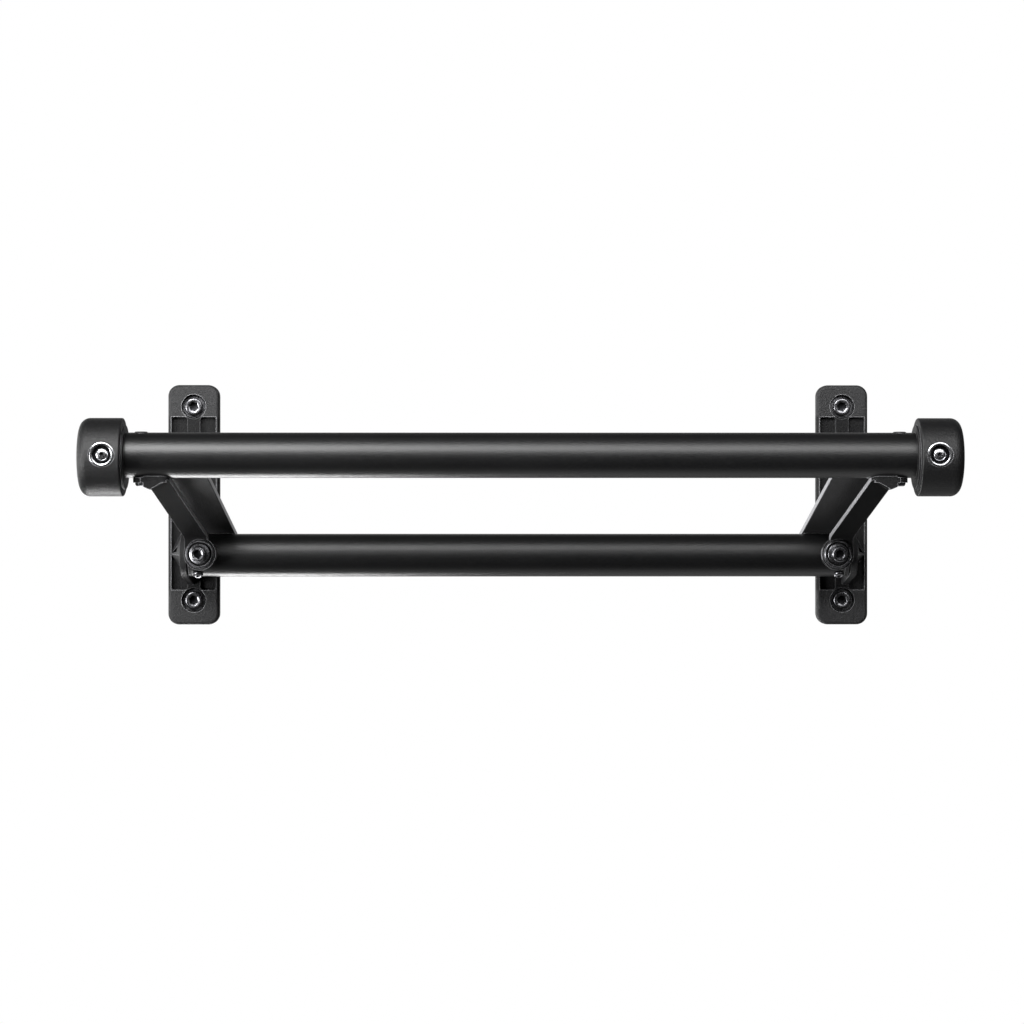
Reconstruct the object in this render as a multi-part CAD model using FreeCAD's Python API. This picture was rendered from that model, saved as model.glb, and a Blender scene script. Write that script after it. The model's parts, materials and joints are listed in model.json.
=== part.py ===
import FreeCAD, Part
import math
import os

# Wall-mounted folding pull-up bar.  Millimetres, +Z up, wall plane at Y = 0, the bar out towards -Y.
# The origin is the centre of the four wall screws, on the wall.  The object is the same left and
# right, so each sided piece is made once for +X and mirrored.
#
# Two wall brackets carry hinge pins.  The lower tube turns on them, and two welded arms and two
# bolted brace straps carry the grip tube in front of it.  Folded, the grip tube swings up to the wall.

V = FreeCAD.Vector

# ---- driving dimensions --------------------------------------------------------------------

STUD_SPACING = 610.0            # bracket centre to bracket centre, 24 in wall studs
BRACKET_X = STUD_SPACING / 2

# wall bracket plate
PLATE_WIDTH = 48.0
PLATE_TOP = 111.3
PLATE_BOTTOM = -114.0
PLATE_THICK = 12.0
PLATE_CORNER = 10.5
PLATE_EDGE = 3.0
WAIST_DEPTH = 1.0               # the plate is a little thinner between its two screw pads
RIB_WIDTH = 12.0                # rib left between two shallow pockets
POCKET_HALF = 81.4
POCKET_DEPTH = 4.5
POCKET_RIM = 3.0
POCKET_CORNER = 3.0

# wall screws
SCREW_PITCH = 182.0
SCREW_HOLE = 5.5
SCREW_BORE = 11.5
SCREW_BORE_DEPTH = 8.0
SCREW_RADIUS = 5.0
SCREW_NECK = 5.3                # plain neck inside the bracket's hole
SCREW_HEAD = 8.0
SCREW_HEAD_HEIGHT = 6.0
SCREW_REACH = 50.0
SCREW_POINT = 9.0
WASHER_THICK = 1.6
WALL_WASHER = 10.4

# tubes
TUBE_RADIUS = 19.7
TUBE_WALL = 3.0
GRIP_Y = -219.0
GRIP_Z = 41.1
GRIP_HALF = 373.0
PIVOT_Y = -59.0
PIVOT_Z = -48.0
PIVOT_HALF = 300.0

# ear, hinge and stop
EAR_INNER = 304.8
EAR_THICK = 6.5
EAR_RADIUS = 20.0
EAR_BASE_HALF = 29.0
EAR_EDGE = 1.0
BUTTRESS_TIP = 327.0
BUTTRESS_HALF = 21.0
BUTTRESS_PEAK = -68.0
BUTTRESS_SHOULDER = 5.5         # the buttress is this wide at its top corner
HINGE_PIN = 8.0
HINGE_PIN_START = 266.0
HINGE_GAP = 0.025               # running clearance of the pin in its bush
BUSH_RADIUS = 10.0
BUSH_START = 272.0
BUSH_FLANGE = 11.2
BUSH_FLANGE_THICK = 1.2
BUSH_PROUD = 0.5
PLUG_START = 264.0
PLUG_FLANGE = 4.0
STOP_PIN = 3.5
STOP_PIN_ARM = 15.1             # stop pin centre below the hinge axis
STOP_PIN_REACH = 4.0            # length of the stop pin beyond the ear
STOP_GAP = 0.1
FOLD_ANGLE = 66.0
NOTCH_SPARE = 1.0               # notch runs on by this many degrees past the fold

# welded arms
ARM_WIDTH = 38.0
ARM_THICK = 6.0
ARM_SPLAY = 5.5
ARM_INNER_X = 262.0
ARM_TAIL = 8.0
ARM_EDGE = 0.8

# bolted brace straps
STRAP_WIDTH = 21.6
STRAP_THICK = 4.0
STRAP_SPLAY = 8.5
STRAP_START_X = 290.4           # where the strap's centre line crosses the hinge axis, in plan
STRAP_TAB = 28.4                # tab centre plane in front of the hinge axis
STRAP_TAB_TOP = -32.0
STRAP_SLOPE = 20.8
STRAP_REACH = 175.0             # the sloping run is cut off square in front of the grip tube
STRAP_BEND = 6.0
STRAP_CORNER = 7.0
EYE_Z = -46.4                   # height of the eye and its bolt
EYE_SIDE = -3.4                 # the eye sits inward of the strap's centre line
EYE_RADIUS = 15.0
EYE_RING = 13.3                 # raised ring round the bolt's washer
EYE_RING_INNER = 11.4
EYE_RING_HEIGHT = 1.6
FOOT_SEAT = 0.6                 # the foot is coped this far round the grip tube
FOOT_THICK = 4.6
FOOT_END = 7.0
FOOT_FRONT = 8.0                # foot and strap end this far in front of the grip tube's axis
HAUNCH_BACK = 20.0              # the haunch starts this far behind the grip tube's axis
BAR_BOLT_X = 329.0
SADDLE_RADIUS = 11.0

# fasteners
STRAP_BOLT = 4.0
STRAP_BOLT_TIP = 11.4            # the bolt ends just short of the hinge bush
STRAP_BOLT_HEAD = 7.3
STRAP_BOLT_HEAD_HEIGHT = 6.5
STRAP_WASHER = 9.7
BAR_BOLT = 3.0
BAR_BOLT_HEAD = 5.2
BAR_BOLT_HEAD_HEIGHT = 3.2
BAR_NUT = 6.0
BAR_NUT_HEIGHT = 2.0
BAR_NUT_SINK = 1.2              # depth of the nut's flat seat in the top of the grip tube
BAR_NUT_BARREL = 4.0
BAR_NUT_DEPTH = 14.0
BAR_BOLT_TOP = 57.0
PLUG_SCREW = 2.5
PLUG_SCREW_HEAD = 4.6
PLUG_SCREW_HEAD_HEIGHT = 2.6
PLUG_SCREW_X = 295.0
PLUG_SCREW_ANGLE = 60.0

# end collars
COLLAR_START = 344.0
COLLAR_END = 381.5
COLLAR_RADIUS = 34.0
COLLAR_DROP = 1.7               # the collar's outside sits this far below its bore
COLLAR_ROUND = 9.0
COLLAR_EDGE = 1.5
COLLAR_RING = 28.0
COLLAR_RING_START = 342.0
COLLAR_BORE_GAP = 0.05
COLLAR_BORE_END = 374.0
SET_SCREW_X = 359.2
SET_SCREW = 9.6
SET_SCREW_LENGTH = 11.3
SET_SCREW_FLANGE = 2.4          # conical rim that fills the mouth of the hole
SET_SCREW_GAP = 0.1
SET_SCREW_MOUTH = 10.8

# ---- helpers -------------------------------------------------------------------------------


def rod(radius, start, end):
    """Cylinder from one point to another."""
    return Part.makeCylinder(radius, end.sub(start).Length, start, end.sub(start))


def taper(radius_start, radius_end, start, end):
    """Cone from one point to another."""
    return Part.makeCone(radius_start, radius_end, end.sub(start).Length, start, end.sub(start))


def prism(points, direction):
    """Closed polygon swept along a straight direction."""
    return Part.Face(Part.makePolygon(points + [points[0]])).extrude(direction)


def block(x0, x1, y0, y1, z0, z1):
    """Box from its lowest to its highest corner."""
    return Part.makeBox(x1 - x0, y1 - y0, z1 - z0, V(x0, y0, z0))


def rounded(shape, radius, wanted):
    """Fillet the edges that a test picks."""
    return shape.makeFillet(radius, [edge for edge in shape.Edges if wanted(edge)])


def bevelled(shape, size, wanted):
    """Chamfer the edges that a test picks."""
    return shape.makeChamfer(size, [edge for edge in shape.Edges if wanted(edge)])


def along(edge, direction):
    """True for a straight edge that runs along a direction."""
    if not isinstance(edge.Curve, Part.Line):
        return False
    return edge.Curve.Direction.cross(direction).Length < 1e-6


def lies_at(edge, axis, place):
    """True for an edge that lies wholly in the plane where one coordinate has a value."""
    return all(abs(getattr(vertex.Point, axis) - place) < 1e-4 for vertex in edge.Vertexes)


def tangent_point(start, centre, radius, turn):
    """Where a line from a point touches a circle, in a plane; turn picks the side."""
    gap = math.hypot(start[0] - centre[0], start[1] - centre[1])
    heading = math.atan2(start[1] - centre[1], start[0] - centre[0])
    angle = heading + turn * math.acos(radius / gap)
    return (centre[0] + radius * math.cos(angle), centre[1] + radius * math.sin(angle))


def hex_socket(across_flats, depth, mouth, inward):
    """Six-sided hole that starts at a point and goes inward."""
    side = V(0, 0, 1).cross(inward)
    if side.Length < 1e-6:
        side = V(1, 0, 0)
    side.normalize()
    up = inward.cross(side).normalize()
    corner = across_flats / math.sqrt(3)
    points = []
    for step in range(6):
        angle = math.radians(60 * step + 30)
        points.append(mouth + side * (corner * math.cos(angle)) + up * (corner * math.sin(angle)))
    return prism(points, inward * depth)


def unit(vector):
    """Same direction, length one."""
    return V(vector).normalize()


# ---- directions that several pieces share ---------------------------------------------------

PIVOT = V(0, PIVOT_Y, PIVOT_Z)
GRIP = V(0, GRIP_Y, GRIP_Z)

splay = math.radians(STRAP_SPLAY)
STRAP_OUT = V(math.sin(splay), -math.cos(splay), 0)
STRAP_SIDE = V(math.cos(splay), math.sin(splay), 0)


def strap_point(forward, side, height):
    """Point in the strap's own frame: forward from the hinge axis, sideways, and height."""
    return V(STRAP_START_X, PIVOT_Y, height) + STRAP_OUT * forward + STRAP_SIDE * side


def eye_point(forward):
    """Point on the axis of the strap's eye and bolt."""
    return strap_point(forward, EYE_SIDE, EYE_Z)


def grip_cylinder(radius):
    """Cylinder round the grip tube's axis, long enough to cut with."""
    return rod(radius, V(-GRIP_HALF - 20, GRIP_Y, GRIP_Z), V(GRIP_HALF + 20, GRIP_Y, GRIP_Z))


def pivot_cylinder(radius):
    """Cylinder round the hinge axis, long enough to cut with."""
    return rod(radius, V(-PIVOT_HALF - 20, PIVOT_Y, PIVOT_Z), V(PIVOT_HALF + 20, PIVOT_Y, PIVOT_Z))


# ---- wall side ------------------------------------------------------------------------------


def wall_bracket():
    half = PLATE_WIDTH / 2
    left = BRACKET_X - half
    right = BRACKET_X + half
    plate = block(left, right, -PLATE_THICK, 0, PLATE_BOTTOM, PLATE_TOP)
    plate = rounded(plate, PLATE_CORNER, lambda edge: along(edge, V(0, 1, 0)))
    plate = rounded(plate, PLATE_EDGE, lambda edge: lies_at(edge, "y", -PLATE_THICK))
    floor = -PLATE_THICK + POCKET_DEPTH
    waist = block(left + POCKET_RIM, right - POCKET_RIM, -PLATE_THICK - 1,
                  -PLATE_THICK + WAIST_DEPTH, -POCKET_HALF, POCKET_HALF)
    plate = plate.cut(waist)
    for near, far in ((left + POCKET_RIM, BRACKET_X - RIB_WIDTH / 2),
                      (BRACKET_X + RIB_WIDTH / 2, right - POCKET_RIM)):
        pocket = block(near, far, -PLATE_THICK - 1, floor, -POCKET_HALF, POCKET_HALF)
        plate = plate.cut(rounded(pocket, POCKET_CORNER, lambda edge: along(edge, V(0, 1, 0))))
    body = plate.fuse(ear(floor)).fuse(buttress(floor)).removeSplitter()
    for height in (-SCREW_PITCH / 2, SCREW_PITCH / 2):
        front = V(BRACKET_X, -PLATE_THICK - 1, height)
        body = body.cut(rod(SCREW_HOLE, front, V(BRACKET_X, 1, height)))
        body = body.cut(rod(SCREW_BORE, front, front + V(0, SCREW_BORE_DEPTH + 1, 0)))
    hole_end = EAR_INNER + EAR_THICK + 1
    body = body.cut(rod(HINGE_PIN, PIVOT + V(EAR_INNER - 1, 0, 0), PIVOT + V(hole_end, 0, 0)))
    stop = PIVOT - V(0, 0, STOP_PIN_ARM)
    return body.cut(rod(STOP_PIN, stop + V(EAR_INNER - 1, 0, 0), stop + V(hole_end, 0, 0)))


def ear(floor):
    """Upright lug that carries the hinge pin, tangent from its round end down to the plate."""
    centre = (PIVOT_Y, PIVOT_Z)
    base_y = floor + 1
    outline = [V(EAR_INNER, base_y, PIVOT_Z - EAR_BASE_HALF)]
    for base_z, turn in ((PIVOT_Z - EAR_BASE_HALF, -1), (PIVOT_Z + EAR_BASE_HALF, 1)):
        touch = tangent_point((base_y, base_z), centre, EAR_RADIUS, turn)
        outline.append(V(EAR_INNER, touch[0], touch[1]))
    outline.append(V(EAR_INNER, base_y, PIVOT_Z + EAR_BASE_HALF))
    web = prism(outline, V(EAR_THICK, 0, 0))
    boss = rod(EAR_RADIUS, PIVOT + V(EAR_INNER, 0, 0), PIVOT + V(EAR_INNER + EAR_THICK, 0, 0))
    lug = web.fuse(boss).removeSplitter()
    faces = (EAR_INNER, EAR_INNER + EAR_THICK)
    return rounded(lug, EAR_EDGE, lambda edge: any(lies_at(edge, "x", place) for place in faces)
                   and not lies_at(edge, "y", base_y))


def buttress(floor):
    """Pyramid that props the ear from the outer side, with a small relief in its upper facet."""
    root = EAR_INNER + EAR_THICK - 0.5
    tip = V(BUTTRESS_TIP, floor, PIVOT_Z)
    top = V(root + BUTTRESS_SHOULDER, floor, PIVOT_Z + BUTTRESS_HALF)
    inner_top = V(root, floor, PIVOT_Z + BUTTRESS_HALF)
    bottom = V(root, floor, PIVOT_Z - BUTTRESS_HALF)
    peak = V(root, BUTTRESS_PEAK, PIVOT_Z)
    heel = V(root, floor, PIVOT_Z)
    facets = [(tip, top, peak), (top, inner_top, peak), (tip, peak, bottom), (tip, bottom, heel),
              (tip, heel, top), (top, heel, inner_top), (inner_top, heel, peak),
              (bottom, peak, heel)]
    faces = [Part.Face(Part.makePolygon([a, b, c, a])) for a, b, c in facets]
    solid = Part.makeSolid(Part.makeShell(faces))
    if solid.Volume < 0:
        solid.reverse()
    relief = prism([V(BUTTRESS_TIP - 1, -60, PIVOT_Z + 1.2), V(BUTTRESS_TIP - 8.2, -60, PIVOT_Z + 8.4),
                    V(BUTTRESS_TIP - 8.2, -60, PIVOT_Z + 2.4)], V(0, 60 + floor - 2.5, 0))
    return solid.cut(relief)


def wall_screw(x, z):
    seat = -PLATE_THICK + SCREW_BORE_DEPTH - WASHER_THICK
    top = seat - SCREW_HEAD_HEIGHT
    head = rod(SCREW_HEAD, V(x, top, z), V(x, seat, z))
    head = bevelled(head, 0.8, lambda edge: lies_at(edge, "y", top))
    head = head.cut(hex_socket(8.0, 4.0, V(x, top, z), V(0, 1, 0)))
    shank_end = SCREW_REACH - SCREW_POINT
    neck = rod(SCREW_NECK, V(x, seat, z), V(x, 0, z))
    shank = rod(SCREW_RADIUS, V(x, 0, z), V(x, shank_end, z))
    point = taper(SCREW_RADIUS, 0.8, V(x, shank_end, z), V(x, SCREW_REACH, z))
    return head.fuse(neck).fuse(shank).fuse(point).removeSplitter()


def wall_washer(x, z):
    seat = -PLATE_THICK + SCREW_BORE_DEPTH
    disc = rod(WALL_WASHER, V(x, seat - WASHER_THICK, z), V(x, seat, z))
    return disc.cut(rod(SCREW_NECK + 0.2, V(x, seat - 5, z), V(x, seat + 5, z)))


def at_wall_holes(make):
    """One solid at each of the four wall holes."""
    places = [(x, z) for x in (-BRACKET_X, BRACKET_X) for z in (-SCREW_PITCH / 2, SCREW_PITCH / 2)]
    return Part.makeCompound([make(x, z) for x, z in places])


def hinge_pin():
    end = EAR_INNER + EAR_THICK
    pin = rod(HINGE_PIN, PIVOT + V(HINGE_PIN_START, 0, 0), PIVOT + V(end, 0, 0))
    return bevelled(pin, 1.0, lambda edge: lies_at(edge, "x", HINGE_PIN_START))


def stop_pin():
    centre = PIVOT - V(0, 0, STOP_PIN_ARM)
    start = EAR_INNER - STOP_PIN_REACH
    return rod(STOP_PIN, centre + V(start, 0, 0), centre + V(EAR_INNER + EAR_THICK, 0, 0))


# ---- hinge pieces in the ends of the lower tube ----------------------------------------------


def hinge_bush():
    flange_end = PIVOT_HALF + PLUG_FLANGE + BUSH_PROUD
    flange_start = flange_end - BUSH_FLANGE_THICK
    sleeve = rod(BUSH_RADIUS, PIVOT + V(BUSH_START, 0, 0), PIVOT + V(flange_end, 0, 0))
    flange = rod(BUSH_FLANGE, PIVOT + V(flange_start, 0, 0), PIVOT + V(flange_end, 0, 0))
    return sleeve.fuse(flange).cut(pivot_cylinder(HINGE_PIN + HINGE_GAP)).removeSplitter()


def end_plug():
    flange_end = PIVOT_HALF + PLUG_FLANGE
    body = rod(TUBE_RADIUS - TUBE_WALL, PIVOT + V(PLUG_START, 0, 0), PIVOT + V(flange_end, 0, 0))
    flange = rod(TUBE_RADIUS, PIVOT + V(PIVOT_HALF, 0, 0), PIVOT + V(flange_end, 0, 0))
    flange = bevelled(flange, 0.6, lambda edge: lies_at(edge, "x", flange_end))
    plug = body.fuse(flange).removeSplitter().cut(pivot_cylinder(BUSH_RADIUS))
    recess_start = flange_end + BUSH_PROUD - BUSH_FLANGE_THICK
    plug = plug.cut(rod(BUSH_FLANGE, PIVOT + V(recess_start, 0, 0), PIVOT + V(flange_end + 1, 0, 0)))
    plug = plug.cut(stop_notch(flange_end))
    return plug.cut(strap_bolt_hole(STRAP_BOLT)).cut(plug_screw_hole(PLUG_SCREW))


def stop_notch(flange_end):
    """Open notch in the flange's rim that the stop pin runs in as the frame folds."""
    start = PIVOT_HALF
    inner = STOP_PIN_ARM - STOP_PIN - 0.35
    outer = TUBE_RADIUS + 2
    spread = math.degrees((STOP_PIN + STOP_GAP) / STOP_PIN_ARM)
    first = -90 - spread
    last = -90 + FOLD_ANGLE + spread + NOTCH_SPARE
    points = []
    for radius, angles in ((outer, (first, last)), (inner, (last, first))):
        middle = sum(angles) / 2
        points.append([PIVOT + V(start, radius * math.cos(math.radians(angle)),
                                 radius * math.sin(math.radians(angle)))
                       for angle in (angles[0], middle, angles[1])])
    edges = [Part.Arc(*points[0]).toShape(), Part.makeLine(points[0][2], points[1][0]),
             Part.Arc(*points[1]).toShape(), Part.makeLine(points[1][2], points[0][0])]
    return Part.Face(Part.Wire(edges)).extrude(V(flange_end - start + 1, 0, 0))


def strap_bolt_hole(radius):
    """The strap bolt's hole, from in front of the tab to just short of the hinge bush."""
    return rod(radius, eye_point(STRAP_BOLT_TIP), eye_point(60))


def plug_screw_point(radius):
    angle = math.radians(PLUG_SCREW_ANGLE)
    return PIVOT + V(PLUG_SCREW_X, -radius * math.cos(angle), -radius * math.sin(angle))


def plug_screw_hole(radius):
    return rod(radius, plug_screw_point(BUSH_RADIUS + 1), plug_screw_point(TUBE_RADIUS + 8))


def plug_screw():
    seat = plug_screw_point(TUBE_RADIUS)
    outward = unit(plug_screw_point(TUBE_RADIUS + 1) - seat)
    head = rod(PLUG_SCREW_HEAD, seat, seat + outward * PLUG_SCREW_HEAD_HEIGHT)
    crown = seat + outward * (PLUG_SCREW_HEAD_HEIGHT / 2)
    head = rounded(head, 1.4, lambda edge: (edge.CenterOfMass - crown).dot(outward) > 1)
    shank = rod(PLUG_SCREW, plug_screw_point(BUSH_RADIUS + 1), seat)
    top = seat + outward * PLUG_SCREW_HEAD_HEIGHT
    return head.fuse(shank).cut(hex_socket(3.0, 1.8, top, outward * -1)).cut(
        pivot_cylinder(BUSH_RADIUS))


# ---- tubes ----------------------------------------------------------------------------------


def lower_tube():
    tube = rod(TUBE_RADIUS, PIVOT - V(PIVOT_HALF, 0, 0), PIVOT + V(PIVOT_HALF, 0, 0))
    tube = tube.cut(pivot_cylinder(TUBE_RADIUS - TUBE_WALL))
    for hole in (strap_bolt_hole(STRAP_BOLT), plug_screw_hole(PLUG_SCREW)):
        tube = tube.cut(hole).cut(mirrored(hole))
    return tube


def front_grip_tube():
    tube = rod(TUBE_RADIUS, GRIP - V(GRIP_HALF, 0, 0), GRIP + V(GRIP_HALF, 0, 0))
    tube = tube.cut(grip_cylinder(TUBE_RADIUS - TUBE_WALL))
    low = V(BAR_BOLT_X, GRIP_Y, GRIP_Z - 30)
    high = V(BAR_BOLT_X, GRIP_Y, GRIP_Z + 30)
    seat = V(BAR_BOLT_X, GRIP_Y, GRIP_Z + TUBE_RADIUS - BAR_NUT_SINK)
    for hole in (rod(BAR_BOLT, low, GRIP + V(BAR_BOLT_X, 0, 0)), rod(BAR_NUT, seat, high),
                 rod(BAR_NUT_BARREL, GRIP + V(BAR_BOLT_X, 0, 0), high)):
        tube = tube.cut(hole).cut(mirrored(hole))
    return tube


# ---- arms and straps ------------------------------------------------------------------------


def main_arm():
    """Flat bar laid on the lower tube and coped to the back of the grip tube, aimed at its axis."""
    reach = math.hypot(GRIP_Y - PIVOT_Y, GRIP_Z - PIVOT_Z)
    rise = math.atan2(GRIP_Z - PIVOT_Z, PIVOT_Y - GRIP_Y)
    slope = rise - math.asin((TUBE_RADIUS + ARM_THICK / 2) / reach)
    forward = V(0, -math.cos(slope), math.sin(slope))
    normal = V(0, math.sin(slope), math.cos(slope))
    length = (GRIP - PIVOT).dot(forward)
    lean = math.tan(math.radians(ARM_SPLAY))
    width = ARM_WIDTH / math.cos(math.radians(ARM_SPLAY))
    base = PIVOT + normal * TUBE_RADIUS
    corners = []
    for distance, across in ((-ARM_TAIL, 0), (length, 0), (length, width), (-ARM_TAIL, width)):
        side = V(ARM_INNER_X + distance * lean + across, 0, 0)
        corners.append(base + side + forward * distance)
    bar = prism(corners, normal * ARM_THICK)
    sides = unit(corners[1] - corners[0])
    bar = rounded(bar, ARM_EDGE, lambda edge: along(edge, sides) or
                  (along(edge, V(1, 0, 0)) and (edge.CenterOfMass - base).dot(forward) < 0))
    return bar.cut(grip_cylinder(TUBE_RADIUS))


def brace_strap():
    """Bent flat bar: an upright tab with a round eye, a sloping run coped under the grip tube, and
    a level foot turned outward along the tube, with a haunch in its corner."""
    front = STRAP_TAB + STRAP_THICK / 2
    slope = math.radians(STRAP_SLOPE)
    rise = (STRAP_REACH - front) * math.tan(slope)
    upright = STRAP_THICK / math.cos(slope)
    tab_shift = STRAP_THICK * math.tan((math.pi / 2 - slope) / 2)
    back = front - STRAP_THICK
    outline = [(front, EYE_Z), (front, STRAP_TAB_TOP), (STRAP_REACH, STRAP_TAB_TOP + rise),
               (STRAP_REACH, STRAP_TAB_TOP + rise + upright), (back, STRAP_TAB_TOP + tab_shift),
               (back, EYE_Z)]
    half = STRAP_WIDTH / 2
    bar = prism([strap_point(u, -half, z) for u, z in outline], STRAP_SIDE * STRAP_WIDTH)
    bends = [strap_point(u, 0, z) for u, z in (outline[1], outline[4])]
    bar = rounded(bar, STRAP_BEND, lambda edge: along(edge, STRAP_SIDE) and
                  min((edge.CenterOfMass - bend).Length for bend in bends) < 0.1)
    eye_front = eye_point(front)
    eye = rod(EYE_RADIUS, eye_point(back), eye_front)
    ring = rod(EYE_RING, eye_front, eye_point(front + EYE_RING_HEIGHT))
    ring = rounded(ring, 0.6, lambda edge: (edge.CenterOfMass - eye_front).Length > 1)
    strap = bar.fuse(eye).fuse(ring).fuse(strap_foot())
    front_edge = GRIP_Y - FOOT_FRONT
    strap = strap.cut(block(250, 400, front_edge - 60, front_edge, -60, 60))
    corner_x = strap_point(STRAP_REACH, -half, 0).x - 2
    turn = V(corner_x + STRAP_CORNER, front_edge + STRAP_CORNER, 0)
    nick = block(corner_x - 9, turn.x, front_edge - 1, turn.y, 0, 60)
    strap = strap.cut(nick.cut(rod(STRAP_CORNER, turn, turn + V(0, 0, 60)))).removeSplitter()
    strap = strap.cut(rod(EYE_RING_INNER, eye_front, eye_point(front + 9)))
    strap = strap.cut(strap_bolt_hole(STRAP_BOLT)).cut(grip_cylinder(TUBE_RADIUS))
    bolt = V(BAR_BOLT_X, GRIP_Y, 0)
    return strap.cut(rod(BAR_BOLT, bolt, bolt + V(0, 0, 60)))


def strap_foot():
    """Level tongue under the grip tube with a round end, and the haunch that carries it."""
    top = GRIP_Z - TUBE_RADIUS + FOOT_SEAT
    bottom = V(BAR_BOLT_X, GRIP_Y, top - FOOT_THICK)
    end = rod(FOOT_END, bottom, bottom + V(0, 0, FOOT_THICK))
    tongue = block(BAR_BOLT_X - 22, BAR_BOLT_X, GRIP_Y - FOOT_FRONT, GRIP_Y + FOOT_END,
                   bottom.z, top)
    outline = [(BAR_BOLT_X - 2.5, top), (BAR_BOLT_X - 2.5, top - 8.3), (BAR_BOLT_X - 8, top - 10.7),
               (BAR_BOLT_X - 25.5, top - 0.8), (BAR_BOLT_X - 25.5, top)]
    haunch = prism([V(x, GRIP_Y + HAUNCH_BACK, z) for x, z in outline],
                   V(0, -HAUNCH_BACK - FOOT_FRONT, 0))
    clear = rod(BAR_BOLT_HEAD + 0.4, V(BAR_BOLT_X, GRIP_Y, 0), bottom)
    return end.fuse(tongue).fuse(haunch.cut(clear))


def strap_saddle():
    """Spacer between the strap's tab and the round of the lower tube."""
    tab_back = STRAP_TAB - STRAP_THICK / 2
    pad = rod(SADDLE_RADIUS, eye_point(TUBE_RADIUS - 8), eye_point(tab_back))
    return pad.cut(pivot_cylinder(TUBE_RADIUS)).cut(strap_bolt_hole(STRAP_BOLT))


def strap_washer():
    tab_front = STRAP_TAB + STRAP_THICK / 2
    disc = rod(STRAP_WASHER, eye_point(tab_front), eye_point(tab_front + WASHER_THICK))
    return disc.cut(strap_bolt_hole(STRAP_BOLT))


def strap_bolt():
    seat = STRAP_TAB + STRAP_THICK / 2 + WASHER_THICK
    top = eye_point(seat + STRAP_BOLT_HEAD_HEIGHT)
    head = rod(STRAP_BOLT_HEAD, eye_point(seat), top)
    head = rounded(head, 1.2, lambda edge: (edge.CenterOfMass - top).Length < 0.5)
    shank = rod(STRAP_BOLT, eye_point(STRAP_BOLT_TIP), eye_point(seat))
    return head.fuse(shank).cut(hex_socket(7.0, 4.0, top, STRAP_OUT * -1)).removeSplitter()


def bar_bolt():
    """Button-head screw up through the strap's foot and the grip tube."""
    seat = GRIP_Z - TUBE_RADIUS + FOOT_SEAT - FOOT_THICK
    bottom = seat - BAR_BOLT_HEAD_HEIGHT
    head = rod(BAR_BOLT_HEAD, V(BAR_BOLT_X, GRIP_Y, bottom), V(BAR_BOLT_X, GRIP_Y, seat))
    head = rounded(head, 2.0, lambda edge: lies_at(edge, "z", bottom))
    head = head.cut(hex_socket(4.0, 1.8, V(BAR_BOLT_X, GRIP_Y, bottom), V(0, 0, 1)))
    shank = rod(BAR_BOLT, V(BAR_BOLT_X, GRIP_Y, seat), V(BAR_BOLT_X, GRIP_Y, BAR_BOLT_TOP))
    return head.fuse(shank).removeSplitter()


def bar_nut():
    """Domed barrel nut let into the top of the grip tube."""
    seat = GRIP_Z + TUBE_RADIUS - BAR_NUT_SINK
    centre = V(BAR_BOLT_X, GRIP_Y, seat)
    dome = rod(BAR_NUT, centre, centre + V(0, 0, BAR_NUT_HEIGHT))
    dome = rounded(dome, BAR_NUT_HEIGHT - 0.4, lambda edge: lies_at(edge, "z", seat + BAR_NUT_HEIGHT))
    barrel = rod(BAR_NUT_BARREL, centre - V(0, 0, BAR_NUT_DEPTH), centre)
    hole = rod(BAR_BOLT, centre - V(0, 0, BAR_NUT_DEPTH + 1), V(BAR_BOLT_X, GRIP_Y, BAR_BOLT_TOP))
    return dome.fuse(barrel).removeSplitter().cut(hole)


# ---- end collars ----------------------------------------------------------------------------


def end_collar():
    """Thick cap with a bore set a little high, a lip towards the bracket and a set-screw hole."""
    body = GRIP - V(0, 0, COLLAR_DROP)
    cap = rod(COLLAR_RADIUS, body + V(COLLAR_START, 0, 0), body + V(COLLAR_END, 0, 0))
    cap = rounded(cap, COLLAR_ROUND, lambda edge: lies_at(edge, "x", COLLAR_END))
    cap = rounded(cap, COLLAR_EDGE, lambda edge: lies_at(edge, "x", COLLAR_START))
    ring = rod(COLLAR_RING, body + V(COLLAR_RING_START, 0, 0), body + V(COLLAR_START + 1, 0, 0))
    ring = rounded(ring, 0.8, lambda edge: lies_at(edge, "x", COLLAR_RING_START))
    cap = cap.fuse(ring).removeSplitter()
    bore = rod(TUBE_RADIUS + COLLAR_BORE_GAP, GRIP, GRIP + V(COLLAR_BORE_END, 0, 0))
    rim = GRIP + V(SET_SCREW_X, -COLLAR_RADIUS, 0)
    mouth = taper(SET_SCREW_MOUTH + 1, SET_SCREW, rim - V(0, 1, 0), rim + V(0, 3, 0))
    return cap.cut(bore).cut(rod(SET_SCREW, GRIP + V(SET_SCREW_X, 0, 0), rim)).cut(mouth)


def set_screw():
    """Large set screw with a conical rim in the mouth of its hole and a dished face."""
    inner = GRIP + V(SET_SCREW_X, -TUBE_RADIUS, 0)
    neck = inner - V(0, SET_SCREW_LENGTH, 0)
    outer = neck - V(0, SET_SCREW_FLANGE, 0)
    growth = SET_SCREW_FLANGE * (SET_SCREW_MOUTH + 1 - SET_SCREW) / 4
    small = SET_SCREW - SET_SCREW_GAP
    screw = rod(small, inner, neck).fuse(taper(small, small + growth, neck, outer))
    dish = rod(SET_SCREW - 1.6, outer, outer + V(0, 4, 0))
    return screw.removeSplitter().cut(dish).cut(hex_socket(8.0, 4.0, outer + V(0, 4, 0), V(0, 1, 0)))


# ---- write one STEP per node -----------------------------------------------------------------


def mirrored(shape):
    return shape.mirror(V(0, 0, 0), V(1, 0, 0))


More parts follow.
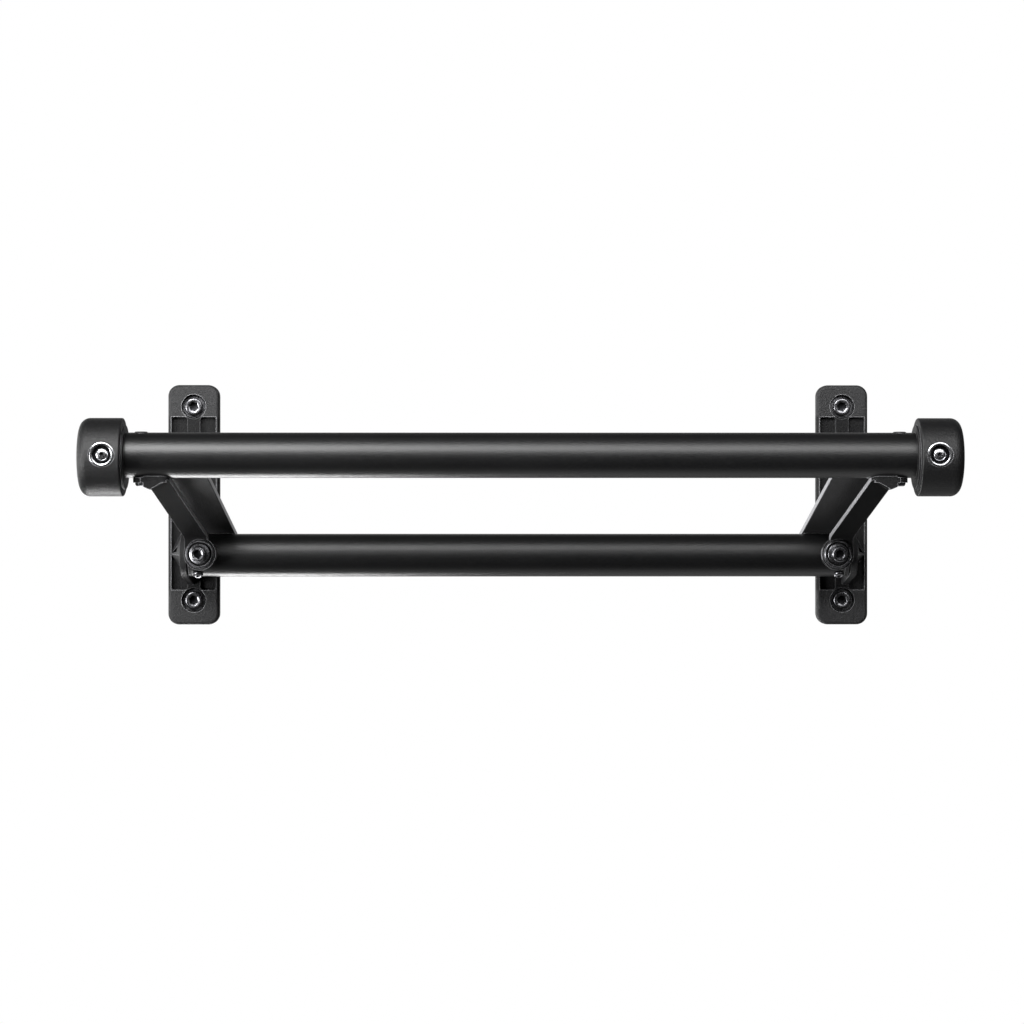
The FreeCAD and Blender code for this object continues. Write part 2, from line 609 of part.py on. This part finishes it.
SIDED_PIECES = {
    "wall_bracket": wall_bracket,
    "hinge_pin": hinge_pin,
    "stop_pin": stop_pin,
    "hinge_bush": hinge_bush,
    "end_plug": end_plug,
    "plug_screw": plug_screw,
    "main_arm": main_arm,
    "brace_strap": brace_strap,
    "strap_saddle": strap_saddle,
    "strap_washer": strap_washer,
    "strap_bolt": strap_bolt,
    "bar_bolt": bar_bolt,
    "bar_nut": bar_nut,
    "end_collar": end_collar,
    "set_screw": set_screw,
}


def write(name, shape):
    solids = len(shape.Solids)
    if solids == 0 or not shape.isValid() or shape.Volume <= 0:
        raise ValueError("bad solid in " + name)
    shape.exportStep("parts/" + name + ".step")
    box = shape.BoundBox
    print("%-22s solids %d volume %9.0f  X %7.1f %7.1f  Y %7.1f %6.1f  Z %7.1f %6.1f" % (
        name, solids, shape.Volume, box.XMin, box.XMax, box.YMin, box.YMax, box.ZMin, box.ZMax))


os.makedirs("parts", exist_ok=True)
for piece, make in SIDED_PIECES.items():
    right_piece = make()
    write("right_" + piece, right_piece)
    write("left_" + piece, mirrored(right_piece))
write("wall_screws", at_wall_holes(wall_screw))
write("wall_washers", at_wall_holes(wall_washer))
write("lower_tube", lower_tube())
write("front_grip_tube", front_grip_tube())
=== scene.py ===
import json
import math

import bpy
import bmesh
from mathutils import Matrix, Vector


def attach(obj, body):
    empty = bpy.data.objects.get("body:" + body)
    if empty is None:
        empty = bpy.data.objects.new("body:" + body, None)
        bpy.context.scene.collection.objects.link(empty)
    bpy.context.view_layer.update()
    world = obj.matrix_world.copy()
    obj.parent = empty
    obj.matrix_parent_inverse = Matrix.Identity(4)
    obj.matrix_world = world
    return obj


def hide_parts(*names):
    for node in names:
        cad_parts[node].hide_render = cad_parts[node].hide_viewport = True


# Looks for the wall-mounted folding pull-up bar.  Metres, in the frame of the CAD model.

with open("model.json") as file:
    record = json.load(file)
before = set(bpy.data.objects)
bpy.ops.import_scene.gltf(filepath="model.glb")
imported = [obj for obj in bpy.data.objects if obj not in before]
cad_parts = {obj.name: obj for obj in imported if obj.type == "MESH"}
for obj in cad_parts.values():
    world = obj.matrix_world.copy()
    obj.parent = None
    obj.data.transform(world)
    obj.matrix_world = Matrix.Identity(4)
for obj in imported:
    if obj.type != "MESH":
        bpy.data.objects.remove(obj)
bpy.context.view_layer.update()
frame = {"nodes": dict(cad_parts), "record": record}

SIDES = {"left": -1, "right": 1}
PIVOT = Vector((0, -0.059, -0.048))          # lower tube's axis, which the frame folds about
GRIP = Vector((0, -0.219, 0.0411))           # grip tube's axis
WALL_SCREW_X = 0.305
WALL_SCREW_Z = 0.091
SET_SCREW_X = 0.3592
BAR_BOLT_X = 0.329
PLUG_SCREW_X = 0.295
PLUG_SCREW_ANGLE = math.radians(60)          # below straight forward
EYE_X = 0.2904                               # centre of the strap's eye, before it leans out
EYE_Z = -0.0464
EYE_OFFSET = 0.0034
STRAP_LEAN = math.radians(8.5)
ARM_SLOPE = math.radians(21.98)
ARM_LEAN = math.radians(5.5)
ARM_START_X = 0.2632
ARM_WIDTH = 0.0360
LOWER_BEAD_WIDTH = 0.0357                    # the lower bead stops short of the strap
BEAD_STEP = 0.00045
BEAD_END = 0.0002
BEAD_RIPPLE = 0.0023

# ---- node-tree helpers -----------------------------------------------------------------------


def new_material(name):
    """An empty material with its shader and output."""
    material = bpy.data.materials.new(name)
    material.use_nodes = True
    tree = material.node_tree
    tree.nodes.clear()
    output = tree.nodes.new("ShaderNodeOutputMaterial")
    shader = tree.nodes.new("ShaderNodeBsdfPrincipled")
    tree.links.new(shader.outputs["BSDF"], output.inputs["Surface"])
    return material, tree, shader


def node(tree, kind, inputs=None, **settings):
    """Add a node, set its properties, and set or link its inputs."""
    made = tree.nodes.new("ShaderNode" + kind)
    for key, value in settings.items():
        setattr(made, key, value)
    for key, value in (inputs or {}).items():
        if isinstance(value, bpy.types.NodeSocket):
            tree.links.new(value, made.inputs[key])
        else:
            made.inputs[key].default_value = value
    return made


def noise(tree, place, scale, detail=3.0, roughness=0.5):
    made = node(tree, "TexNoise", {"Vector": place, "Scale": scale, "Detail": detail,
                                   "Roughness": roughness})
    return made.outputs["Fac"]


def spread(tree, value, low, high, start=0.35, end=0.65):
    """Map a noise value from start..end to low..high."""
    made = node(tree, "MapRange", {"Value": value, "From Min": start, "From Max": end,
                                   "To Min": low, "To Max": high})
    return made.outputs["Result"]


def shade_between(tree, factor, first, second):
    made = node(tree, "Mix", {"Factor": factor}, data_type="RGBA")
    made.inputs[6].default_value = (*first, 1)
    made.inputs[7].default_value = (*second, 1)
    return made.outputs[2]


def object_place(tree):
    return node(tree, "TexCoord").outputs["Object"]


def ramp(tree, value, low, high, to_low=0.0, to_high=1.0):
    """Smooth step of a value between two marks."""
    made = node(tree, "MapRange", {"Value": value, "From Min": low, "From Max": high,
                                   "To Min": to_low, "To Max": to_high},
                interpolation_type="SMOOTHSTEP")
    return made.outputs[0]


def maths(tree, operation, first, second=0.0):
    return node(tree, "Math", {0: first, 1: second}, operation=operation).outputs[0]


# ---- materials ------------------------------------------------------------------------------


def edge_wear_and_highlight(tree, radius):
    """1 along sharp edges, 0 on open surface; marks bare metal that is partly edge wear and partly a
    painted highlight.
    """
    eased = node(tree, "Bevel", {"Radius": radius}, samples=6)
    true = node(tree, "NewGeometry").outputs["Normal"]
    same = node(tree, "VectorMath", {0: eased.outputs["Normal"], 1: true}, operation="DOT_PRODUCT")
    return ramp(tree, same.outputs["Value"], 0.985, 0.90)


def side_faces(tree):
    """1 on faces that look along X, the cut sides of the flat bars, and 0 elsewhere: the mask of a
    painted highlight on those sides.
    """
    parts = node(tree, "SeparateXYZ", {"Vector": node(tree, "NewGeometry").outputs["True Normal"]})
    return ramp(tree, maths(tree, "ABSOLUTE", parts.outputs["X"]), 0.90, 0.97)


def recess_shade_mask(tree):
    """1 in the shallow waist and pockets of the wall plates, 0 on their raised pads and rims; the mask of
    the painted shade there.
    """
    parts = node(tree, "SeparateXYZ", {"Vector": object_place(tree)})
    return maths(tree, "MULTIPLY", ramp(tree, parts.outputs["Y"], -0.0119, -0.0112),
                 ramp(tree, maths(tree, "ABSOLUTE", parts.outputs["Z"]), 0.0835, 0.0805))


def coated_metal(name, dark, light, roughness, grain, edge_bare_amount, specular=0.5, ior=1.5,
                 highlit_sides=False, paint_recess_shade=False):
    """Powder-coated steel: fine grain, slight orange peel, faint changes of tone, and bare metal
    along sharp edges, partly edge wear and partly a painted highlight.  The side option paints a
    highlight on the sides of a flat bar, and the recess option paints shade into the waist and pockets of
    a wall plate."""
    material, tree, shader = new_material(name)
    place = object_place(tree)
    cloud = noise(tree, place, 14, 4, 0.6)
    speck = noise(tree, place, 1500, 3, 0.7)
    peel = noise(tree, place, 650, 3, 0.6)
    tone = maths(tree, "ADD", cloud, peel)
    colour = shade_between(tree, spread(tree, tone, 0, 1, 0.75, 1.25), dark, light)
    # Bare metal along sharp edges: partly edge wear, partly a painted highlight of light catching the
    # edges.
    worn_and_highlit = maths(tree, "MULTIPLY", edge_wear_and_highlight(tree, 0.0009), edge_bare_amount)
    # Painted highlight: the sides of a flat bar that look along X turn mostly bare metal, standing in for
    # light catching them.
    if highlit_sides:
        worn_and_highlit = maths(tree, "MAXIMUM", worn_and_highlit, maths(tree, "MULTIPLY", side_faces(tree), 0.75))
    # Painted shade: in the waist and pockets of a wall plate the colour is darker and there are fewer
    # bright edges.
    if paint_recess_shade:
        shade = recess_shade_mask(tree)
        worn_and_highlit = maths(tree, "MULTIPLY", worn_and_highlit, ramp(tree, shade, 0, 1, 1.0, 0.35))
        recess_shaded_colour = node(tree, "Mix", {"Factor": shade}, data_type="RGBA")
        tree.links.new(colour, recess_shaded_colour.inputs[6])
        recess_shaded_colour.inputs[7].default_value = (*[channel * 0.55 for channel in dark], 1)
        colour = recess_shaded_colour.outputs[2]
    # Bare metal colour on worn edges and on painted highlights.
    bare_metal_and_highlight = node(tree, "Mix", {"Factor": worn_and_highlit}, data_type="RGBA")
    tree.links.new(colour, bare_metal_and_highlight.inputs[6])
    bare_metal_and_highlight.inputs[7].default_value = (0.55, 0.55, 0.57, 1)
    tree.links.new(bare_metal_and_highlight.outputs[2], shader.inputs["Base Color"])
    tree.links.new(worn_and_highlit, shader.inputs["Metallic"])
    matt = spread(tree, noise(tree, place, 900, 3), roughness - 0.05, roughness + 0.05)
    shine = node(tree, "Mix", {"Factor": worn_and_highlit, 2: matt, 3: 0.30}, data_type="FLOAT")
    tree.links.new(shine.outputs[0], shader.inputs["Roughness"])
    fine = node(tree, "Bump", {"Height": speck, "Strength": grain, "Distance": 0.0006})
    soft = node(tree, "Bump", {"Height": peel, "Strength": grain, "Distance": 0.0011,
                               "Normal": fine.outputs["Normal"]})
    tree.links.new(soft.outputs["Normal"], shader.inputs["Normal"])
    shader.inputs["Specular IOR Level"].default_value = specular
    # Less specular in the waist and pockets as well, which is part of the painted shade.
    if paint_recess_shade:
        tree.links.new(ramp(tree, shade, 0, 1, specular, 0.4 * specular),
                       shader.inputs["Specular IOR Level"])
    shader.inputs["IOR"].default_value = ior
    return material


def machined_metal(name, dark, light, roughness, scratch):
    """Bare or blackened steel with fine turning marks and a little smearing."""
    material, tree, shader = new_material(name)
    place = object_place(tree)
    cloud = noise(tree, place, 260, 4, 0.6)
    colour = shade_between(tree, spread(tree, cloud, 0, 1), dark, light)
    tree.links.new(colour, shader.inputs["Base Color"])
    shader.inputs["Metallic"].default_value = 1.0
    tree.links.new(spread(tree, noise(tree, place, 900, 3), roughness - 0.05, roughness + 0.08),
                   shader.inputs["Roughness"])
    marks = noise(tree, place, 3800, 2, 0.7)
    bump = node(tree, "Bump", {"Height": marks, "Strength": scratch, "Distance": 0.0001})
    tree.links.new(bump.outputs["Normal"], shader.inputs["Normal"])
    return material


MATERIALS = {
    "powder_coat": coated_metal("powder_coat_black", (0.011, 0.011, 0.0115), (0.019, 0.019, 0.020),
                                0.52, 0.60, 0.50, 0.4),
    "bar_coat": coated_metal("bar_coat_black", (0.0020, 0.0020, 0.0022), (0.0038, 0.0038, 0.0041),
                             0.38, 0.15, 0.3),
    "collar_coat": coated_metal("collar_coat_black", (0.003, 0.003, 0.0032), (0.006, 0.006, 0.0064),
                                0.46, 0.40, 0.45, 0.34),
    "black_oxide": machined_metal("black_oxide_steel", (0.12, 0.12, 0.13), (0.26, 0.26, 0.27),
                                  0.28, 0.05),
    "bright_steel": machined_metal("polished_steel", (0.36, 0.365, 0.38), (0.52, 0.525, 0.54),
                                   0.22, 0.03),
    "ground_steel": machined_metal("ground_steel", (0.36, 0.36, 0.38), (0.52, 0.52, 0.54),
                                   0.25, 0.10),
    "bronze": machined_metal("sintered_bronze", (0.30, 0.18, 0.08), (0.48, 0.31, 0.15), 0.38, 0.3),
}
# Near-black steel for the faces inside sockets and grooves: painted shade.
SHADED_STEEL = machined_metal("shaded_steel", (0.010, 0.010, 0.011), (0.022, 0.022, 0.024), 0.45, 0.05)
# Wall plate coat, with painted shade in the waist and pockets.
PLATE_COAT = coated_metal("plate_coat_black", (0.011, 0.011, 0.0115), (0.019, 0.019, 0.020),
                          0.50, 0.60, 0.50, 0.30, paint_recess_shade=True)
# Strap coat: a painted highlight on the sides that look along X; a little darker, rougher and less glossy
# than the powder coat.
STRAP_COAT_PAINTED_HIGHLIGHT = coated_metal("strap_coat_painted_highlight", (0.010, 0.010, 0.0103), (0.016, 0.016, 0.0163),
                          0.65, 0.60, 0.4, 0.1, 1.18, True)
# Arm coat: a lighter copy of the powder coat that paints on light, with a painted highlight on the sides
# that look along X.
ARM_COAT_PAINTED_LIGHT = coated_metal("arm_coat_painted_light", (0.019, 0.019, 0.020), (0.029, 0.029, 0.030),
                        0.55, 0.50, 0.4, 0.42, 1.5, True)

for part in frame["record"]["subparts"]:
    for slot in frame["nodes"][part["node"]].material_slots:
        slot.material = MATERIALS[part["material_slot"]]
for side in SIDES:
    for slot in frame["nodes"][side + "_stop_pin"].material_slots:
        slot.material = MATERIALS["black_oxide"]
    # Straps, wall plates and arms get copies of the powder coat with painted highlights and painted
    # shade.
    for slot in frame["nodes"][side + "_brace_strap"].material_slots:
        slot.material = STRAP_COAT_PAINTED_HIGHLIGHT
    for slot in frame["nodes"][side + "_wall_bracket"].material_slots:
        slot.material = PLATE_COAT
    for slot in frame["nodes"][side + "_main_arm"].material_slots:
        slot.material = ARM_COAT_PAINTED_LIGHT

# ---- fasteners ---------------------------------------------------------------------------------
# Each is a stack of rings along its axis.  A ring is (distance along, radius, form), where the form
# is "round", "hex" for a socket's six flats, or "thread" for a helical ridge that stands up from
# the radius.  "dark" is round too.  The faces up to a "hex" or "dark" ring lie in a socket or
# groove and get near-black steel, which is painted shade.

SEGMENTS = 48
THREAD_HEIGHT = 0.0009
THREAD_PITCH = 0.0028


def ring_radius(along, radius, form, angle):
    if form == "hex":
        return radius / math.cos((angle % (math.pi / 3)) - math.pi / 6)
    if form == "thread":
        turn = (along / THREAD_PITCH - angle / (2 * math.pi)) % 1
        return radius + THREAD_HEIGHT * max(0.0, 1 - abs(turn - 0.5) * 3)
    return radius


def turned(build, start, axis, rings):
    """Add one closed turned piece to a mesh, from a start point along an axis."""
    axis = Vector(axis).normalized()
    across = axis.orthogonal().normalized()
    up = axis.cross(across)
    loops = []
    for along, radius, form in rings:
        middle = Vector(start) + axis * along
        if radius == 0:
            loops.append([build.verts.new(middle)])
            continue
        loop = []
        for step in range(SEGMENTS):
            angle = 2 * math.pi * step / SEGMENTS
            out = ring_radius(along, radius, form, angle)
            loop.append(build.verts.new(middle + (across * math.cos(angle) + up * math.sin(angle)) * out))
        loops.append(loop)
    for first, second, ring in zip(loops, loops[1:], rings[1:]):
        for step in range(SEGMENTS):
            after = (step + 1) % SEGMENTS
            corners = {first[step % len(first)]: 1, first[after % len(first)]: 1,
                       second[after % len(second)]: 1, second[step % len(second)]: 1}
            # Faces up to a hex or dark ring get the second material, the painted shade.
            build.faces.new(list(corners)).material_index = int(ring[2] in ("hex", "dark"))


def threaded(start, end, root):
    """Rings for a threaded length, close enough together to draw the helix."""
    count = int(abs(end - start) / THREAD_PITCH * 8)
    return [(start + (end - start) * step / count, root, "thread") for step in range(count + 1)]


def make_piece(name, slot_name, body, nodes, pieces):
    """One object from (start, axis, rings) entries, which rides a body and replaces CAD nodes."""
    mesh = bpy.data.meshes.new(name)
    build = bmesh.new()
    for start, axis, rings in pieces:
        turned(build, start, axis, rings)
    bmesh.ops.recalc_face_normals(build, faces=build.faces)
    for edge in build.edges:
        edge.smooth = not edge.is_manifold or edge.calc_face_angle(0) < math.radians(38)
    for face in build.faces:
        face.smooth = True
    build.to_mesh(mesh)
    build.free()
    piece = bpy.data.objects.new(name, mesh)
    mesh.materials.append(MATERIALS[slot_name])
    mesh.materials.append(SHADED_STEEL)
    bpy.context.collection.objects.link(piece)
    if nodes:
        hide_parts(*nodes)
    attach(piece, body)
    return piece


def socket(top, depth, half_flats, mouth):
    """Rings for a hex socket, from its drilled centre up to the chamfered mouth."""
    floor = top - depth
    return [(floor - half_flats * 0.3, 0, "round"), (floor, half_flats * 0.98, "hex"),
            (top - 0.0005, half_flats, "hex"), (top, mouth, "round")]


def wall_screw_rings():
    """Distance runs from the wall plane out of the wall; the head is at the positive end."""
    rings = socket(0.0116, 0.004, 0.0040, 0.0052)
    rings += [(0.0116, 0.0070, "round"), (0.0114, 0.0075, "round"), (0.0109, 0.0079, "round"),
              (0.0103, 0.0080, "round"), (0.0060, 0.0080, "round"), (0.0056, 0.0077, "round"),
              (0.0056, 0.0053, "round"), (0.0001, 0.0053, "round"), (-0.0010, 0.0040, "round")]
    rings += threaded(-0.0014, -0.0405, 0.0041)
    return rings + [(-0.0420, 0.0040, "round"), (-0.0495, 0.0010, "round"), (-0.0500, 0, "round")]


def strap_bolt_rings():
    rings = socket(0.0385, 0.004, 0.0035, 0.0045)
    rings += [(0.0385, 0.0058, "round"), (0.0383, 0.0065, "round"), (0.0377, 0.0071, "round"),
              (0.0370, 0.0073, "round"), (0.0323, 0.0073, "round"), (0.0320, 0.0070, "round"),
              (0.0320, 0.0040, "round"), (0.0250, 0.0040, "round"), (0.0244, 0.0030, "round")]
    rings += threaded(0.0240, 0.0124, 0.0031)
    return rings + [(0.0118, 0.0030, "round"), (0.0114, 0.0026, "round"), (0.0114, 0, "round")]


def strap_washer_rings():
    return [(0.0304, 0.0042, "round"), (0.0304, 0.0093, "round"), (0.0306, 0.0096, "round"),
            (0.0310, 0.0097, "round"), (0.0314, 0.0097, "round"), (0.0318, 0.0095, "round"),
            (0.0320, 0.0091, "round"), (0.0320, 0.0042, "round"), (0.0304, 0.0042, "round")]


def set_screw_rings():
    """Dished face with a conical rim round a small dome that holds the socket."""
    rings = socket(0.0318, 0.0022, 0.0018, 0.0023)
    rings += [(0.0317, 0.0034, "round"), (0.0312, 0.0048, "round"), (0.0303, 0.0058, "round"),
              (0.0296, 0.0062, "round"), (0.0290, 0.0065, "dark"), (0.0290, 0.0076, "dark"),
              (0.0316, 0.0080, "dark"), (0.0331, 0.0083, "round"), (0.0334, 0.0089, "round"),
              (0.0334, 0.0101, "round"), (0.0331, 0.0106, "round"), (0.0326, 0.0103, "round"),
              (0.0311, 0.0095, "round"), (0.0300, 0.0095, "round"), (0.0297, 0.0086, "round")]
    rings += threaded(0.0294, 0.0206, 0.0086)
    return rings + [(0.0203, 0.0085, "round"), (0.0197, 0.0080, "round"), (0.0197, 0, "round")]


def eye_rim_rings():
    """Thin rolled rim on the raised ring of the strap's eye."""
    return [(0.0306, 0.0118, "round"), (0.0318, 0.0118, "round"), (0.0322, 0.0120, "round"),
            (0.0324, 0.0124, "round"), (0.0322, 0.0128, "round"), (0.0318, 0.0130, "round"),
            (0.0306, 0.0130, "round"), (0.0306, 0.0118, "round")]


def bar_bolt_rings():
    """Distance runs down from the grip tube's axis."""
    rings = socket(0.0269, 0.0018, 0.0020, 0.0026)
    rings += [(0.0268, 0.0036, "round"), (0.0262, 0.0046, "round"), (0.0252, 0.0051, "round"),
              (0.0243, 0.0052, "round"), (0.0237, 0.0051, "round"), (0.0237, 0.0030, "round"),
              (0.0150, 0.0030, "round"), (0.0100, 0.0024, "round")]
    return rings + [(-0.0155, 0.0024, "round"), (-0.0159, 0.0020, "round"), (-0.0159, 0, "round")]


def plug_screw_rings():
    rings = socket(0.0223, 0.0018, 0.0015, 0.0020)
    rings += [(0.0222, 0.0030, "round"), (0.0217, 0.0040, "round"), (0.0209, 0.0045, "round"),
              (0.0202, 0.0046, "round"), (0.0198, 0.0045, "round"), (0.0198, 0.0025, "round")]
    return rings + [(0.0115, 0.0024, "round"), (0.0112, 0.0020, "round"), (0.0112, 0, "round")]


def make_fasteners():
    holes = [(x, 0, z) for x in (-WALL_SCREW_X, WALL_SCREW_X) for z in (-WALL_SCREW_Z, WALL_SCREW_Z)]
    make_piece("wall_screws_detail", "black_oxide", "wall_brackets", ["wall_screws"],
               [(hole, (0, -1, 0), wall_screw_rings()) for hole in holes])
    for side, sign in SIDES.items():
        axis = (sign * math.sin(STRAP_LEAN), -math.cos(STRAP_LEAN), 0)
        eye = (sign * (EYE_X - EYE_OFFSET * math.cos(STRAP_LEAN)),
               PIVOT.y - EYE_OFFSET * math.sin(STRAP_LEAN), EYE_Z)
        make_piece(side + "_strap_bolt_detail", "black_oxide", "swing_frame",
                   [side + "_strap_bolt"], [(eye, axis, strap_bolt_rings())])
        make_piece(side + "_strap_washer_detail", "black_oxide", "swing_frame",
                   [side + "_strap_washer"], [(eye, axis, strap_washer_rings())])
        make_piece(side + "_eye_rim", "black_oxide", "swing_frame", [],
                   [(eye, axis, eye_rim_rings())])
        make_piece(side + "_set_screw_detail", "bright_steel", "swing_frame",
                   [side + "_set_screw"],
                   [((sign * SET_SCREW_X, GRIP.y, GRIP.z), (0, -1, 0), set_screw_rings())])
        make_piece(side + "_bar_bolt_detail", "black_oxide", "swing_frame",
                   [side + "_bar_bolt"],
                   [((sign * BAR_BOLT_X, GRIP.y, GRIP.z), (0, 0, -1), bar_bolt_rings())])
        out = (0, -math.cos(PLUG_SCREW_ANGLE), -math.sin(PLUG_SCREW_ANGLE))
        screw = make_piece(side + "_plug_screw_detail", "bright_steel", "swing_frame",
                           [side + "_plug_screw"],
                           [((sign * PLUG_SCREW_X, PIVOT.y, PIVOT.z), out, plug_screw_rings())])
        screw.data.materials[0] = MATERIALS["black_oxide"]


def bead(start, end, radius):
    """Entry for a rippled weld bead between two points, with rounded ends."""
    run = Vector(end) - Vector(start)
    rings = [(0, 0, "round")]
    count = int(run.length / BEAD_STEP)
    for step in range(count + 1):
        along = BEAD_END + (run.length - 2 * BEAD_END) * step / count
        ends = min(1.0, 0.55 + 400 * min(along, run.length - along))
        ripple = 1 + 0.10 * abs(math.sin(along * math.pi / BEAD_RIPPLE))
        rings.append((along, radius * ends * ripple, "round"))
    return start, run, rings + [(run.length, 0, "round")]


def arm_point(along, height, x):
    """Point at a distance along an arm and a height above the pivot, both in the arm's slope."""
    return Vector((x, PIVOT.y - along * math.cos(ARM_SLOPE) + height * math.sin(ARM_SLOPE),
                   PIVOT.z + along * math.sin(ARM_SLOPE) + height * math.cos(ARM_SLOPE)))


def make_welds():
    """Beads under each arm at the lower tube, and under and over it at the grip tube."""
    for side, sign in SIDES.items():
        beads = []
        for along, height, radius, width in ((0.0060, 0.0192, 0.0014, LOWER_BEAD_WIDTH),
                                             (0.1620, 0.0194, 0.0013, ARM_WIDTH),
                                             (0.1620, 0.0260, 0.0013, ARM_WIDTH)):
            inner = ARM_START_X + along * math.tan(ARM_LEAN)
            beads.append(bead(arm_point(along, height, sign * inner),
                              arm_point(along, height, sign * (inner + width)), radius))
        welds = make_piece(side + "_weld_beads", "powder_coat", "swing_frame", [], beads)
        # The beads take the arm coat, and with it the coat's painted light.
        welds.data.materials[0] = ARM_COAT_PAINTED_LIGHT


make_fasteners()
make_welds()

# ---- floor, light and camera ----------------------------------------------------------------


def make_floor():
    """Pale round floor well below the bar."""
    mesh = bpy.data.meshes.new("floor")
    build = bmesh.new()
    bmesh.ops.create_circle(build, cap_ends=True, segments=128, radius=1.5)
    build.to_mesh(mesh)
    build.free()
    floor = bpy.data.objects.new("floor", mesh)
    floor.location = (0, 0.2, -0.85)
    bpy.context.collection.objects.link(floor)
    material, tree, shader = new_material("floor_paint")
    shader.inputs["Base Color"].default_value = (0.82, 0.82, 0.82, 1)
    shader.inputs["Roughness"].default_value = 0.8
    shader.inputs["Emission Color"].default_value = (1, 1, 1, 1)
    shader.inputs["Emission Strength"].default_value = 0.5
    mesh.materials.append(material)
    floor.visible_glossy = False
    floor.visible_diffuse = False


def make_world():
    """White room seen directly; reflections see a white wall on the left and behind, a pale floor
    below and behind, and a dim front."""
    world = bpy.data.worlds.new("studio")
    bpy.context.scene.world = world
    world.use_nodes = True
    tree = world.node_tree
    tree.nodes.clear()
    direction = node(tree, "TexCoord").outputs["Generated"]
    parts = node(tree, "SeparateXYZ", {"Vector": direction})
    height = maths(tree, "ABSOLUTE", parts.outputs["Z"])
    left = maths(tree, "ADD", ramp(tree, parts.outputs["X"], -0.10, -0.35),
                 ramp(tree, parts.outputs["X"], -0.55, -0.85, 0.0, 2.0))
    wall = maths(tree, "MULTIPLY", left,
                 maths(tree, "MULTIPLY", ramp(tree, height, 0.50, 0.20),
                       ramp(tree, parts.outputs["Y"], -0.30, 0.05)))
    behind = ramp(tree, parts.outputs["Y"], 0.60, 0.95, 0.0, 0.5)
    below = maths(tree, "MULTIPLY", ramp(tree, parts.outputs["Z"], -0.55, -0.88, 0.0, 0.70),
                  ramp(tree, parts.outputs["Y"], -0.40, 0.20))
    level = maths(tree, "MAXIMUM", maths(tree, "MAXIMUM", wall, behind), below)
    level = maths(tree, "MAXIMUM", level, 0.035)
    shown = node(tree, "LightPath").outputs["Is Camera Ray"]
    strength = node(tree, "Mix", {"Factor": shown, 2: level, 3: 1.0}, data_type="FLOAT")
    background = node(tree, "Background", {"Color": (1, 1, 1, 1), "Strength": strength.outputs[0]})
    output = node(tree, "OutputWorld")
    tree.links.new(background.outputs[0], output.inputs["Surface"])


def make_light(name, place, aim, width, height, power):
    data = bpy.data.lights.new(name, "AREA")
    data.shape = "RECTANGLE"
    data.size = width
    data.size_y = height
    data.energy = power
    light = bpy.data.objects.new(name, data)
    light.location = place
    light.rotation_mode = "QUATERNION"
    light.rotation_quaternion = (Vector(aim) - Vector(place)).to_track_quat("-Z", "Y")
    light.visible_camera = False
    bpy.context.collection.objects.link(light)


def make_camera():
    """Level camera in front, a little left of the middle and just below it."""
    data = bpy.data.cameras.new("camera")
    data.sensor_width = 36
    data.lens = 99.84
    data.clip_end = 50
    camera = bpy.data.objects.new("camera", data)
    camera.location = (-0.029, -2.683, -0.0081)
    camera.rotation_euler = (math.pi / 2, 0, -math.radians(0.497))
    bpy.context.collection.objects.link(camera)
    bpy.context.scene.camera = camera


make_floor()
make_world()
make_light("tall_softbox", (0.3, -2.08, 1.40), (0.3, -0.2, 0.0), 3.2, 1.6, 52)
make_light("long_softbox", (0.3, -2.15, 1.36), (0.3, -0.2, 0.0), 3.2, 0.6, 28)
make_light("left_softbox", (-1.15, -2.0, 1.40), (-1.0, -0.2, 0.0), 1.15, 1.2, 85)
make_light("low_left_front", (-2.0, -1.35, -0.35), (-0.1, -0.1, -0.05), 0.8, 0.8, 64)
make_light("low_left_card", (-0.46, 0.80, -0.92), (-0.29, -0.13, -0.02), 0.5, 0.5, 12)
make_camera()
bpy.context.scene.view_settings.view_transform = "Standard"
bpy.context.scene.view_settings.look = "None"
